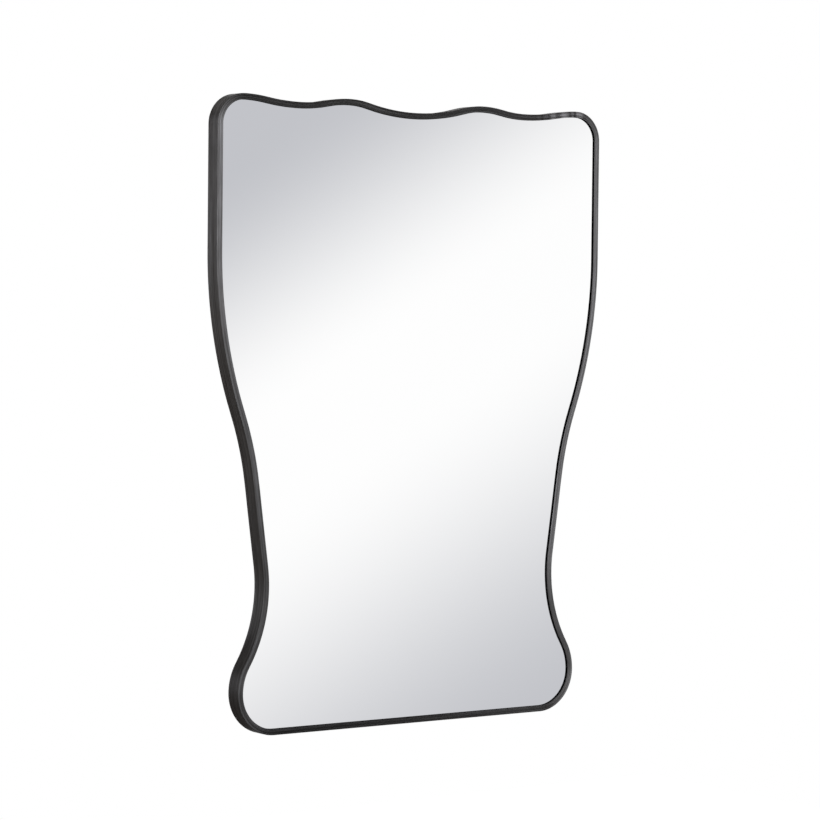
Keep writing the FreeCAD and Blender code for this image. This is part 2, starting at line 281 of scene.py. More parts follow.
def brushed_frame_material():
    """Dark gunmetal finish over steel that is brushed along the rails, darkest beside the wall, with
    painted shade below the waist and a painted highlight at the upper right crest.
    """
    material, shader = new_material("gunmetal_brushed")
    graph = Graph(material.node_tree)
    along = graph.coordinates("UV")
    grain = graph.noise(graph.stretched(along, (9, 2600, 1)), 1.0, 4, 0.65)
    streaks = graph.noise(graph.stretched(along, (4, 420, 1)), 1.0, 3, 0.65)
    patches = graph.noise(graph.stretched(along, (28, 190, 1)), 1.0, 3, 0.55)
    lines = graph.math("MULTIPLY_ADD", grain, 0.35, graph.math("MULTIPLY", streaks, 0.65))
    colour = graph.ramp(lines, [(0.38, (0.165, 0.156, 0.150)), (0.5, (0.294, 0.284, 0.28)),
                                (0.62, (0.46, 0.455, 0.455))])
    cloud = graph.ramp(patches, [(0.35, 0.78), (0.65, 1.0)])
    across = graph.split(along)[1]
    rear = graph.ramp(graph.math("MULTIPLY", across, 1 / REAR_SHADE), [(0.2, 0.55), (0.8, 1.0)])
    place = graph.split(graph.coordinates("Object"))
    tone_and_painted_shade = graph.mix(1.0, graph.mix(1.0, colour, cloud, "MULTIPLY"), rear, "MULTIPLY")
    # Painted shade: below the waist the colour is darkened to the left and lightened to the right.
    tone_and_painted_shade = graph.mix(1.0, tone_and_painted_shade, painted_shade_below_waist(graph, place), "MULTIPLY")
    # Painted highlight: at the upper right crest the colour is doubled in blotches; the same mask places
    # the ground joint's bumps.
    near = weld_and_highlight_mask(graph, place)
    highlight_noise = graph.noise(graph.stretched(along, (40, 330, 1)), 1.0, 2, 0.5)
    highlight_blotches = graph.ramp(highlight_noise, [(0.38, 0.2), (0.6, 1.0)])
    painted_weld_highlight = graph.ramp(graph.math("MULTIPLY", near, highlight_blotches), [(0.0, 1.0), (1.0, (2.0, 2.0, 2.05))])
    graph.link(graph.mix(1.0, tone_and_painted_shade, painted_weld_highlight, "MULTIPLY"), shader.inputs["Base Color"])
    graph.link(graph.math("MULTIPLY_ADD", lines, 0.16, 0.36), shader.inputs["Roughness"])
    shader.inputs["Metallic"].default_value = 1.0
    # The grain runs along the tangent, and a quarter turn spreads the highlight across it
    shader.inputs["Anisotropic"].default_value = 1.0
    shader.inputs["Anisotropic Rotation"].default_value = 0.25
    tangent = graph.node("ShaderNodeTangent", direction_type="UV_MAP")
    graph.link(tangent.outputs["Tangent"], shader.inputs["Tangent"])
    hollows = graph.noise(graph.stretched(along, (48, 12, 1)), 1.0, 0, 0.5)
    ground = graph.bump(graph.math("MULTIPLY", near, graph.math("SUBTRACT", hollows, 0.5)), 1.0, 0.0035)
    graph.link(graph.bump(lines, 0.15, 0.00006, over=ground), shader.inputs["Normal"])
    return material


def rebate_black_material():
    """Matt black primer on the lip's edge and inside the channel, a little dusty."""
    material, shader = new_material("rebate_black")
    graph = Graph(material.node_tree)
    place = graph.coordinates("Object")
    dust = graph.noise(place, 90, 4, 0.6)
    grit = graph.noise(place, 1800, 2, 0.5)
    graph.link(graph.ramp(dust, [(0.35, (0.006, 0.006, 0.007)), (0.75, (0.018, 0.018, 0.019))]),
               shader.inputs["Base Color"])
    graph.link(graph.math("MULTIPLY_ADD", grit, 0.2, 0.55), shader.inputs["Roughness"])
    shader.inputs["Specular IOR Level"].default_value = 0.2
    graph.link(graph.bump(grit, 0.15, 0.00005), shader.inputs["Normal"])
    return material


def clip_lacquer_material():
    """The frame's dark lacquer over folded sheet, satin and a little uneven."""
    material, shader = new_material("clip_lacquer")
    graph = Graph(material.node_tree)
    place = graph.coordinates("Object")
    peel = graph.noise(place, 1400, 3, 0.5)
    cloud = graph.noise(place, 150, 2, 0.5)
    graph.link(graph.ramp(cloud, [(0.3, (0.030, 0.029, 0.028)), (0.7, (0.052, 0.050, 0.049))]),
               shader.inputs["Base Color"])
    graph.link(graph.math("MULTIPLY_ADD", peel, 0.2, 0.33), shader.inputs["Roughness"])
    shader.inputs["Metallic"].default_value = 0.4
    graph.link(graph.bump(peel, 0.12, 0.00006), shader.inputs["Normal"])
    return material


def silver_material():
    """The silvering of a mirror, with the faint waviness of float glass."""
    material, shader = new_material("silvered_glass")
    graph = Graph(material.node_tree)
    place = graph.coordinates("Object")
    tone = graph.noise(place, 2.2, 1, 0.4)
    tint = graph.ramp(tone, [(0.3, (0.983, 0.984, 0.985)), (0.7, (0.992, 0.992, 0.992))])
    graph.link(tint, shader.inputs["Base Color"])
    shader.inputs["Metallic"].default_value = 1.0
    shader.inputs["Roughness"].default_value = 0.0
    wave = graph.noise(place, 5.0, 1, 0.3)
    graph.link(graph.bump(wave, 0.05, 0.00004), shader.inputs["Normal"])
    return material


def backing_paint_material():
    """Grey-green protective paint on the back of the glass, and its ground edge."""
    material, shader = new_material("mirror_backing_paint")
    graph = Graph(material.node_tree)
    place = graph.coordinates("Object")
    speckle = graph.noise(place, 900, 3, 0.6)
    colour = graph.ramp(speckle, [(0.3, (0.10, 0.125, 0.115)), (0.7, (0.16, 0.19, 0.175))])
    graph.link(colour, shader.inputs["Base Color"])
    shader.inputs["Roughness"].default_value = 0.55
    graph.link(graph.bump(speckle, 0.2, 0.0001), shader.inputs["Normal"])
    return material


def fibreboard_material():
    """Medium-density fibreboard: short fibres, a few dark flecks and a sanded, slightly mottled face."""
    material, shader = new_material("fibreboard")
    graph = Graph(material.node_tree)
    place = graph.coordinates("Object")
    fibres = graph.noise(graph.stretched(place, (1300, 1300, 520)), 1.0, 5, 0.7, 0.8)
    flecks = graph.noise(graph.stretched(place, (800, 800, 330)), 1.0, 2, 0.5, 1.2)
    mottle = graph.noise(place, 14, 3, 0.55)
    base = graph.ramp(fibres, [(0.3, (0.165, 0.095, 0.05)), (0.55, (0.25, 0.15, 0.083)),
                               (0.75, (0.34, 0.22, 0.13))])
    shade = graph.ramp(mottle, [(0.3, 0.93), (0.7, 1.0)])
    dark = graph.ramp(flecks, [(0.60, 1.0), (0.72, 0.68)])
    colour = graph.mix(1.0, graph.mix(1.0, base, shade, "MULTIPLY"), dark, "MULTIPLY")
    graph.link(colour, shader.inputs["Base Color"])
    shader.inputs["Roughness"].default_value = 0.72
    shader.inputs["Specular IOR Level"].default_value = 0.3
    graph.link(graph.bump(fibres, 0.25, 0.00015), shader.inputs["Normal"])
    return material


def zinc_material(name, low, high, roughness):
    """Bright zinc plate: soft crystalline clouding and fine rolling marks."""
    material, shader = new_material(name)
    graph = Graph(material.node_tree)
    place = graph.coordinates("Object")
    crystals = graph.node("ShaderNodeTexVoronoi", feature="F1")
    crystals.inputs["Scale"].default_value = 700
    graph.link(place, crystals.inputs["Vector"])
    cloud = graph.noise(place, 160, 3, 0.55)
    marks = graph.noise(graph.stretched(place, (200, 3000, 3000)), 1.0, 3, 0.6)
    blend = graph.math("MULTIPLY_ADD", crystals.outputs["Distance"], 0.35,
                       graph.math("MULTIPLY", cloud, 0.65))
    graph.link(graph.ramp(blend, [(0.3, low), (0.7, high)]), shader.inputs["Base Color"])
    graph.link(graph.math("MULTIPLY_ADD", marks, 0.2, roughness), shader.inputs["Roughness"])
    shader.inputs["Metallic"].default_value = 0.85
    graph.link(graph.bump(marks, 0.12, 0.00005), shader.inputs["Normal"])
    return material


def rubber_material(name, colour, grain):
    """Moulded rubber with a dull, slightly pitted skin."""
    material, shader = new_material(name)
    graph = Graph(material.node_tree)
    place = graph.coordinates("Object")
    pits = graph.noise(place, grain, 4, 0.6)
    dust = graph.noise(place, 120, 2, 0.5)
    light = tuple(min(1.0, channel * 1.6 + 0.015) for channel in colour)
    graph.link(graph.ramp(dust, [(0.35, colour), (0.75, light)]), shader.inputs["Base Color"])
    graph.link(graph.math("MULTIPLY_ADD", pits, 0.25, 0.55), shader.inputs["Roughness"])
    graph.link(graph.bump(pits, 0.3, 0.0001), shader.inputs["Normal"])
    return material


# ---------------------------------------------------------------- outline of the frame

def level_loop(node, level, wall_level):
    """The closed row of corners of a CAD node at y = level, on the wall that runs to y = wall_level."""
    mesh = NODES[node].data
    mesh.calc_loop_triangles()

    def is_at(index, height):
        return abs(mesh.vertices[index].co.y - height) < SAME_LEVEL

    def key(index):
        place = mesh.vertices[index].co
        return round(place.x * MICRONS), round(place.z * MICRONS)

    following = {}
    for triangle in mesh.loop_triangles:
        corners = triangle.vertices
        for turn in range(3):
            first, second, third = (corners[(turn + step) % 3] for step in range(3))
            if is_at(first, level) and is_at(second, level) and is_at(third, wall_level):
                following[key(first)] = key(second)
    start = max(following, key=lambda corner: (-corner[1], -abs(corner[0])))
    loop = [start]
    while following[loop[-1]] != start:
        loop.append(following[loop[-1]])
    return [Vector((x / MICRONS, 0, z / MICRONS)) for x, z in loop]


def tangents(points):
    """Directions along a closed row of points that lie on arcs and straights."""
    found = []
    for index, point in enumerate(points):
        before = point - points[index - 1]
        after = points[(index + 1) % len(points)] - point
        if before.length > STRAIGHT_RATIO * after.length:
            way = before
        elif after.length > STRAIGHT_RATIO * before.length:
            way = after
        else:
            way = before.normalized() * after.length + after.normalized() * before.length
        found.append(way.normalized())
    return found


def refined(points):
    """More points on the same smooth closed line, with the direction at each."""
    ways = tangents(points)
    line = []
    for index, start in enumerate(points):
        end = points[(index + 1) % len(points)]
        first, last = ways[index], ways[(index + 1) % len(points)]
        reach = (end - start).length
        for step in range(STEPS_PER_CHORD):
            t = step / STEPS_PER_CHORD
            place = (
                start * (2 * t ** 3 - 3 * t ** 2 + 1)
                + first * reach * (t ** 3 - 2 * t ** 2 + t)
                + end * (3 * t ** 2 - 2 * t ** 3)
                + last * reach * (t ** 3 - t ** 2)
            )
            way = first.lerp(last, t).normalized()
            line.append((place, way))
    return line


class Outline:
    """The frame's outer line, with the inward direction and the distance along it at each point."""

    def __init__(self):
        low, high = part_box("frame")
        corners = level_loop("frame", high.y, low.y + CAD_CHAMFER)
        line = refined(corners)
        area = sum(a.x * b.z - b.x * a.z for a, b in zip(corners, corners[1:] + corners[:1]))
        side = 1 if area > 0 else -1
        self.points = [place for place, way in line]
        self.inward = [Vector((-way.z, 0, way.x)) * side for place, way in line]
        self.lengths = [0.0]
        for first, second in zip(self.points, self.points[1:] + self.points[:1]):
            self.lengths.append(self.lengths[-1] + (second - first).length)
        self.front = low.y
        self.rear = high.y

    def at(self, index, inset, y):
        place = self.points[index] + self.inward[index] * inset
        return Vector((place.x, y, place.z))


def mesh_object(name, corners, faces, material, uvs=None, smooth=True):
    mesh = bpy.data.meshes.new(name)
    mesh.from_pydata([tuple(corner) for corner in corners], [], faces)
    if uvs:
        layer = mesh.uv_layers.new(name="UVMap")
        for loop, place in zip(layer.data, uvs):
            loop.uv = place
    mesh.materials.append(material)
    mesh.polygons.foreach_set("use_smooth", [smooth] * len(mesh.polygons))
    mesh.update()
    made = bpy.data.objects.new(name, mesh)
    bpy.context.scene.collection.objects.link(made)
    return made


def rounded_section(corners):
    """A closed section from (inset, y, radius) corners, each rounded, with flats held flat."""
    section = []
    for index, (inset, y, radius) in enumerate(corners):
        here = Vector((inset, y))
        before = Vector(corners[index - 1][:2]) - here
        after = Vector(corners[(index + 1) % len(corners)][:2]) - here
        before.normalize()
        after.normalize()
        centre = here + (before + after) * radius
        start = centre - after * radius
        end = centre - before * radius
        section.append(start + before * radius * EDGE_MARGIN)
        for step in range(EDGE_STEPS + 1):
            angle = math.pi / 2 * step / EDGE_STEPS
            section.append(centre - after * radius * math.cos(angle) - before * radius * math.sin(angle))
        section.append(end + after * radius * EDGE_MARGIN)
    return section


def swept(name, outline, section, materials, inner_columns):
    """A closed ring: the section carried round the outline, with UVs in metres along and across.

    The inner columns of faces take the second material."""
    rows = len(outline.points)
    columns = len(section)
    across = [0.0]
    for first, second in zip(section, section[1:] + section[:1]):
        across.append(across[-1] + (second - first).length)
    corners = [outline.at(row, inset, y) for row in range(rows) for inset, y in section]
    faces = []
    uvs = []
    for row in range(rows):
        following = (row + 1) % rows
        for column in range(columns):
            right = (column + 1) % columns
            faces.append((row * columns + column, row * columns + right,
                          following * columns + right, following * columns + column))
            near, far = outline.lengths[row], outline.lengths[row + 1]
            left_edge, right_edge = across[column], across[column + 1]
            uvs += [(near, left_edge), (near, right_edge), (far, right_edge), (far, left_edge)]
    ring = mesh_object(name, corners, faces, materials[0], uvs)
    ring.data.materials.append(materials[1])
    for number, polygon in enumerate(ring.data.polygons):
        polygon.material_index = int(number % columns in inner_columns)
    return ring


def faces_outwards(piece):
    """Turns a closed piece's faces the right way out."""
    work = bmesh.new()
    work.from_mesh(piece.data)
    bmesh.ops.recalc_face_normals(work, faces=work.faces)
    work.to_mesh(piece.data)
    work.free()
    return piece


# ---------------------------------------------------------------- pieces

def settle(piece, slot, *nodes, body=BODY):
    """A piece that stands for CAD nodes."""
    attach(piece, body)
    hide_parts(*nodes)
    return piece


def make_frame(outline, brushed, black):
    """The frame's ring: brushed outside and on its face, black on the lip's edge and inside."""
    front, rear = outline.front, outline.rear
    corners = [
        (0.0, rear, SMALL_EDGE_RADIUS),
        (0.0, front, FRONT_EDGE_RADIUS),
        (FACE_WIDTH, front, SMALL_EDGE_RADIUS),
        (FACE_WIDTH, front + WALL_SHEET, SMALL_EDGE_RADIUS),
        (WALL_SHEET, front + WALL_SHEET, SMALL_EDGE_RADIUS),
        (WALL_SHEET, rear, SMALL_EDGE_RADIUS),
    ]
    section = rounded_section(corners)
    # Black from the middle of the rounding at the sight edge, round the inside, to that at the rear rim
    points = len(section) // len(corners)
    first, last = 2 * points + points // 2, 6 * points + points // 2
    inside = {column % len(section) for column in range(first, last)}
    ring = faces_outwards(swept("frame_brushed", outline, section, (brushed, black), inside))
    return settle(ring, "frame_metal", "frame")


def make_mirror(outline, silver, paint):
    """The reflecting pane: a silver face, with the painted back and edge behind it."""
    low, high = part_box("mirror_glass")
    silver_y = outline.front + SILVER_DEPTH
    rows = len(outline.points)
    levels = [
        (GLASS_INSET + GLASS_EDGE_RADIUS, silver_y),
        (GLASS_INSET, silver_y + GLASS_EDGE_RADIUS),
        (GLASS_INSET, high.y - GLASS_EDGE_RADIUS),
        (GLASS_INSET + GLASS_EDGE_RADIUS, high.y),
    ]
    corners = [outline.at(row, inset, y) for inset, y in levels for row in range(rows)]
    faces = [tuple(range(rows)), tuple(reversed(range(3 * rows, 4 * rows)))]
    for level in range(3):
        for row in range(rows):
            following = (row + 1) % rows
            faces.append((level * rows + row, level * rows + following,
                          (level + 1) * rows + following, (level + 1) * rows + row))
    pane = mesh_object("mirror_pane", corners, faces, silver, smooth=False)
    pane.data.materials.append(paint)
    faces_outwards(pane)
    for polygon in pane.data.polygons:
        polygon.material_index = 0 if len(polygon.vertices) > 4 and polygon.normal.y < 0 else 1
    return settle(pane, "mirror", "mirror_glass")


def softened(node, name, material):
    """A stamped or folded piece with the CAD node's form and bevelled edges."""
    work = bmesh.new()
    work.from_mesh(NODES[node].data)
    bmesh.ops.remove_doubles(work, verts=work.verts, dist=SAME_PLACE)
    bmesh.ops.dissolve_limit(work, angle_limit=FLAT_ANGLE, verts=work.verts, edges=work.edges)
    sharp = [edge for edge in work.edges if edge.is_manifold and edge.calc_face_angle() > SHARP_ANGLE]
    bmesh.ops.bevel(work, geom=sharp, offset=STAMPED_EDGE, segments=2, profile=0.5, affect="EDGES",
                    clamp_overlap=True)
    mesh = bpy.data.meshes.new(name)
    work.to_mesh(mesh)
    work.free()
    mesh.materials.append(material)
    mesh.polygons.foreach_set("use_smooth", [True] * len(mesh.polygons))
    piece = bpy.data.objects.new(name, mesh)
    bpy.context.scene.collection.objects.link(piece)
    piece.modifiers.new("normals", "WEIGHTED_NORMAL")
    return piece


def middle_of(corners):
    return sum(corners, Vector()) / len(corners)


def bead_path(node, outline):
    """Points where the end of a clip's leg meets the side wall, and the direction out to the wall."""
    corners = [vertex.co.copy() for vertex in NODES[node].data.vertices]
    foot = min(corner.y for corner in corners)
    end = max(corner.y for corner in corners)
    leg_middle = middle_of([corner for corner in corners if corner.y > end - SMALL_EDGE_RADIUS])
    foot_middle = middle_of([corner for corner in corners if corner.y < foot + SMALL_EDGE_RADIUS])
    outward = ((leg_middle - foot_middle) * Vector((1, 0, 1))).normalized()
    along = Vector((outward.z, 0, -outward.x))
    offsets = [(corner - leg_middle).dot(along) for corner in corners]
    first, last = min(offsets) + BEAD_END, max(offsets) - BEAD_END
    steps = round((last - first) / BEAD_RIPPLE) * BEAD_STEPS_PER_RIPPLE
    wall = [outline.at(row, WALL_SHEET, end) for row in range(len(outline.points))]
    path = []
    for step in range(steps + 1):
        start = leg_middle + along * (first + (last - first) * step / steps)
        for near, far in zip(wall, wall[1:] + wall[:1]):
            before = (near - start).dot(along)
            after = (far - start).dot(along)
            if (before < 0) != (after < 0):
                hit = near.lerp(far, before / (before - after))
                if (hit - start).length < BEAD_REACH:
                    path.append(hit)
    return path, outward


def add_bead(mesh, node, outline):
    """Adds a rippled bead, thin at both ends, to a clip's mesh."""
    path, outward = bead_path(node, outline)
    work = bmesh.new()
    work.from_mesh(mesh)
    rings = []
    for step, centre in enumerate(path):
        ripple = abs(math.sin(math.pi * step / BEAD_STEPS_PER_RIPPLE))
        to_end = min(step, len(path) - 1 - step) / BEAD_STEPS_PER_RIPPLE
        rippled = BEAD_HOLLOW + (1 - BEAD_HOLLOW) * ripple
        tapered = min(1.0, BEAD_TIP + (1 - BEAD_TIP) * to_end)
        radius = BEAD_RADIUS * rippled * tapered
        ring = []
        for side in range(BEAD_SIDES):
            angle = 2 * math.pi * side / BEAD_SIDES
            ring.append(work.verts.new(centre - outward * radius * math.cos(angle)
                                       + Vector((0, radius * math.sin(angle), 0))))
        rings.append(ring)
    faces = [work.faces.new(rings[0]), work.faces.new(rings[-1])]
    for near, far in zip(rings, rings[1:]):
        for side in range(BEAD_SIDES):
            after = (side + 1) % BEAD_SIDES
            faces.append(work.faces.new((near[side], far[side], far[after], near[after])))
    for face in faces:
        face.smooth = True
    bmesh.ops.recalc_face_normals(work, faces=faces)
    work.to_mesh(mesh)
    work.free()


def make_clip(number, outline, material):
    """An angle clip with its bead of weld."""
    node = f"retaining_clip_{number}"
    piece = softened(node, f"angle_clip_{number}", material)
    add_bead(piece.data, node, outline)
    return settle(piece, "clip_steel", node)


def turned(profile):
    """A closed mesh turned about the Y axis, from (radius, y) points that start and end on the axis."""
    work = bmesh.new()
    start = work.verts.new((0, profile[0][1], 0))
    end = work.verts.new((0, profile[-1][1], 0))
    angles = [2 * math.pi * step / TURN_STEPS for step in range(TURN_STEPS)]
    rings = []
    for radius, y in profile[1:-1]:
        places = [(radius * math.cos(angle), y, radius * math.sin(angle)) for angle in angles]
        rings.append([work.verts.new(place) for place in places])
    for step in range(TURN_STEPS):
        after = (step + 1) % TURN_STEPS
        work.faces.new((start, rings[0][step], rings[0][after]))
        work.faces.new((end, rings[-1][after], rings[-1][step]))
        for near, far in zip(rings, rings[1:]):
            work.faces.new((near[step], far[step], far[after], near[after]))
    bmesh.ops.recalc_face_normals(work, faces=work.faces)
    mesh = bpy.data.meshes.new("turned")
    work.to_mesh(mesh)
    work.free()
    return mesh


def placed_copies(name, mesh, places, material):
    """One object with a copy of the mesh at each matrix, creased where its faces meet sharply."""
    work = bmesh.new()
    for place in places:
        count = len(work.verts)
        work.from_mesh(mesh)
        work.verts.ensure_lookup_table()
        bmesh.ops.transform(work, matrix=place, verts=work.verts[count:])
    joined = bpy.data.meshes.new(name)
    work.to_mesh(joined)
    work.free()
    joined.materials.clear()
    joined.materials.append(material)
    joined.polygons.foreach_set("use_smooth", [True] * len(joined.polygons))
    joined.set_sharp_from_angle(angle=SHARP_ANGLE)
    piece = bpy.data.objects.new(name, joined)
    bpy.context.scene.collection.objects.link(piece)
    return piece


def middles_of(node):
    """The middle of each screw of a CAD node, seen from behind."""
    groups = []
    for vertex in NODES[node].data.vertices:
        place = Vector((vertex.co.x, 0, vertex.co.z))
        for group in groups:
            if (group[0] - place).length < SCREW_SPACING:
                group.append(place)
                break
        else:
            groups.append([place])
    middles = []
    for group in groups:
        xs = [place.x for place in group]
        zs = [place.z for place in group]
        middles.append(Vector(((min(xs) + max(xs)) / 2, 0, (min(zs) + max(zs)) / 2)))
    return middles


def recess_cutter(crown):
    """Two crossed wedges, wide above the crown of a screw and narrow at the bottom of its recess."""
    work = bmesh.new()
    for wing in range(2):
        made = bmesh.ops.create_cube(work, size=1)["verts"]
        for vertex in made:
            deep = vertex.co.y < 0
            vertex.co.x *= 2 * RECESS_REACH * (RECESS_END_REACH if deep else 1)
            vertex.co.z *= RECESS_WIDTH * (RECESS_END_WIDTH if deep else 1)
            vertex.co.y = crown - RECESS_DEPTH if deep else crown + RECESS_DEPTH
        bmesh.ops.rotate(work, matrix=Matrix.Rotation(wing * math.pi / 2, 3, "Y"), verts=made)
    mesh = bpy.data.meshes.new("cutter")
    work.to_mesh(mesh)
    work.free()
    cutter = bpy.data.objects.new("cutter", mesh)
    bpy.context.scene.collection.objects.link(cutter)
    return cutter


def screw_mesh(point, seat, crown):
    """A pan-head screw with a cross recess, from its point to the crown of its head."""
    rise = crown - seat - HEAD_RIM
    profile = [(0, point), (TIP_RADIUS, point + TIP_LENGTH), (SHANK_RADIUS, point + SHANK_POINT),
               (SHANK_RADIUS, seat), (HEAD_RADIUS, seat), (HEAD_RADIUS, seat + HEAD_RIM)]
    for step in range(1, HEAD_STEPS):
        angle = math.pi / 2 * step / HEAD_STEPS
        radius = HEAD_RADIUS * math.cos(angle) ** HEAD_FULLNESS
        profile.append((radius, seat + HEAD_RIM + rise * math.sin(angle)))
    profile.append((0, crown))
    blank = bpy.data.objects.new("blank", turned(profile))
    bpy.context.scene.collection.objects.link(blank)
    cutter = recess_cutter(crown)
    cut = blank.modifiers.new("recess", "BOOLEAN")
    cut.object = cutter
    cut.operation = "DIFFERENCE"
    cut.use_self = True
    mesh = bpy.data.meshes.new_from_object(blank.evaluated_get(bpy.context.evaluated_depsgraph_get()))
    bpy.data.objects.remove(cutter)
    bpy.data.objects.remove(blank)
    return mesh


def make_screws(node, material):
    """Screws in a CAD node's places. The head sits on the second highest level of its solids."""
    low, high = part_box(node)
    levels = sorted({round(vertex.co.y, 6) for vertex in NODES[node].data.vertices})
    mesh = screw_mesh(low.y, levels[-2], high.y)
    places = []
    for number, middle in enumerate(middles_of(node)):
        turn = Matrix.Rotation(SCREW_TURN * number + FIRST_SCREW_TURN, 4, "Y")
        places.append(Matrix.Translation(middle) @ turn)
    return settle(placed_copies(node + "_driven", mesh, places, material), "screw_steel", node)


def arc(x, z, radius, start, end, steps):
    """Points along an arc about (x, z), between two angles in degrees."""
    angles = [math.radians(start + (end - start) * step / steps) for step in range(steps + 1)]
    return [Vector((x + radius * math.cos(angle), 0, z + radius * math.sin(angle))) for angle in angles]


def ring_path(half):
    """The closed line of a D-ring's wire: a straight bar above, two corners, two legs and a bow."""
    bar_end = half - RING_CORNER
    path = arc(bar_end, -RING_CORNER, RING_CORNER, 90, 0, CORNER_STEPS)
    path += arc(0, -RING_CORNER - RING_LEG, half, 0, -180, BOW_STEPS)
    path += arc(-bar_end, -RING_CORNER, RING_CORNER, 180, 90, CORNER_STEPS)
    return path


def make_ring(side, material):
    """A D-ring of round wire on its pivot."""
    node = "d_ring_" + side
    low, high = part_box(node)
    joint = next(joint for joint in frame["joints"] if joint["child"] == node)
    path = ring_path((high.x - low.x) / 2 - CAD_WIRE_RADIUS)
    count = len(path)
    corners = []
    faces = []
    for index, centre in enumerate(path):
        way = (path[(index + 1) % count] - path[index - 1]).normalized()
        outward = Vector((-way.z, 0, way.x))
        following = (index + 1) % count
        for turn in range(WIRE_SIDES):
            angle = 2 * math.pi * turn / WIRE_SIDES
            across = outward * math.cos(angle) + Vector((0, math.sin(angle), 0))
            corners.append(centre + across * RING_WIRE)
            after = (turn + 1) % WIRE_SIDES
            faces.append((index * WIRE_SIDES + turn, index * WIRE_SIDES + after,
                          following * WIRE_SIDES + after, following * WIRE_SIDES + turn))
    ring = faces_outwards(mesh_object("ring_wire_" + side, corners, faces, material))
    on_pivot = Matrix.Translation(Vector(joint["pos_m"])) @ Matrix.Rotation(RING_LEAN, 4, "X")
    ring.data.transform(on_pivot)
    return settle(ring, "ring_steel", node, body=node)


def make_bumper(number, material):
    """A moulded stud with a rounded rim and a shallow dish in the face that meets the wall."""
    node = f"wall_bumper_{number}"
    low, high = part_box(node)
    radius = (high.x - low.x) / 2
    profile = [(0, low.y), (radius, low.y), (radius, low.y + BUMPER_BASE),
               (radius - BUMPER_STEP, low.y + 2 * BUMPER_BASE)]
    rim = radius - BUMPER_TAPER - BUMPER_EDGE
    for step in range(BUMPER_EDGE_STEPS + 1):
        angle = math.pi / 2 * step / BUMPER_EDGE_STEPS
        drop = BUMPER_EDGE * (1 - math.sin(angle))
        profile.append((rim + BUMPER_EDGE * math.cos(angle), high.y - drop))
    profile += [(radius * share, high.y - depth) for share, depth in BUMPER_DISH]
    middle = Matrix.Translation(((low.x + high.x) / 2, 0, (low.z + high.z) / 2))
    piece = placed_copies(f"bumper_stud_{number}", turned(profile), [middle], material)
    return settle(piece, "bumper_rubber", node)


def dress_nodes(nodes, material):
    for node in nodes:
        NODES[node].data.materials.clear()
        NODES[node].data.materials.append(material)


# ---------------------------------------------------------------- light, floor and camera

def sharp_reflection(graph, turn, rise):
    """What the mirror sees: slanted sweeps from pale grey to white and back, round the horizon."""
    slanted = graph.math("MULTIPLY", graph.math("SUBTRACT", turn, CAMERA_YAW), SWEEP_SLANT)
    diagonal = graph.math("SUBTRACT", slanted, graph.math("SUBTRACT", rise, CAMERA_PITCH))
    period = SWEEP_SLANT * 2 * math.pi / SWEEP_REPEATS
    phase = graph.math("FRACT", graph.math("MULTIPLY_ADD", diagonal, 1 / period, SWEEP_OFFSET))
    pale = (0.548, 0.556, 0.589)
    return graph.ramp(phase, [(0.134, pale), (0.411, 1.0), (0.508, 1.0), (0.898, pale)], "EASE")


def rough_reflection(graph, x, y, turn, rise):
    """What brushed metal sees: a light room in front and a dim one behind, both cut by dark cards.

    Upright rails spread their highlight sideways, past the cards. Level ones see the card alone."""
    level = graph.math("ADD", rise, 0.5)
    front = graph.ramp(level, [(0.0, 0.10), (0.25, 0.42), (0.40, (0.58, 0.59, 0.61)),
                               (0.50, (1.2, 1.22, 1.28)), (0.78, (1.2, 1.22, 1.28)), (0.95, 0.25)])
    dim = graph.ramp(level, [(0.10, (0.22, 0.200, 0.188)), (0.42, (0.140, 0.125, 0.117)),
                             (0.52, (0.122, 0.110, 0.103)), (0.80, (0.100, 0.090, 0.085))])
    rear_light = graph.ramp(graph.math("ADD", x, 0.5), [(0.50, 0.0), (0.85, 1.0)], "EASE")
    back = graph.mix(rear_light, dim, grey(0.75))
    behind = graph.ramp(graph.math("ADD", y, 0.5), [(0.15, 0.0), (0.55, 1.0)], "EASE")
    past_card = graph.math("SUBTRACT", turn, CARD_TURN)
    cards_past = graph.math("MULTIPLY_ADD", past_card, DARK_CARDS / (2 * math.pi), CARD_OFFSET)
    cards = graph.math("FRACT", cards_past)
    gaps = graph.ramp(cards, [(0.28, 1.0), (0.39, 0.03), (0.61, 0.03), (0.72, 1.0)], "EASE")
    band = graph.mix(1.0, graph.mix(behind, front, back), gaps, "MULTIPLY")
    overhead = graph.ramp(level, [(0.85, 0.0), (1.0, 1.0)])
    high = graph.math("MULTIPLY", overhead, graph.ramp(y, [(0.70, 0.0), (0.82, 1.0)]))
    return graph.mix(1.0, band, high, "ADD")


def make_world():
    """White to the camera and plain grey light, but shaped for what metal and mirror reflect."""
    world = bpy.data.worlds.new("studio")
    bpy.context.scene.world = world
    world.use_nodes = True
    world.node_tree.nodes.clear()
    graph = Graph(world.node_tree)
    x, y, z = graph.split(graph.coordinates("Generated"))
    turn = graph.math("ARCTAN2", x, graph.math("MULTIPLY", y, -1.0))
    rise = graph.math("ARCSINE", z)
    path = graph.node("ShaderNodeLightPath").outputs
    reflected = graph.mix(path["Is Singular Ray"], rough_reflection(graph, x, y, turn, rise),
                          sharp_reflection(graph, turn, rise))
    seen = graph.mix(path["Is Glossy Ray"], grey(0.55), reflected)
    colour = graph.mix(path["Is Camera Ray"], seen, grey(1.0))
    background = graph.node("ShaderNodeBackground")
    graph.link(colour, background.inputs["Color"])
    output = graph.node("ShaderNodeOutputWorld")
    graph.link(background.outputs[0], output.inputs["Surface"])


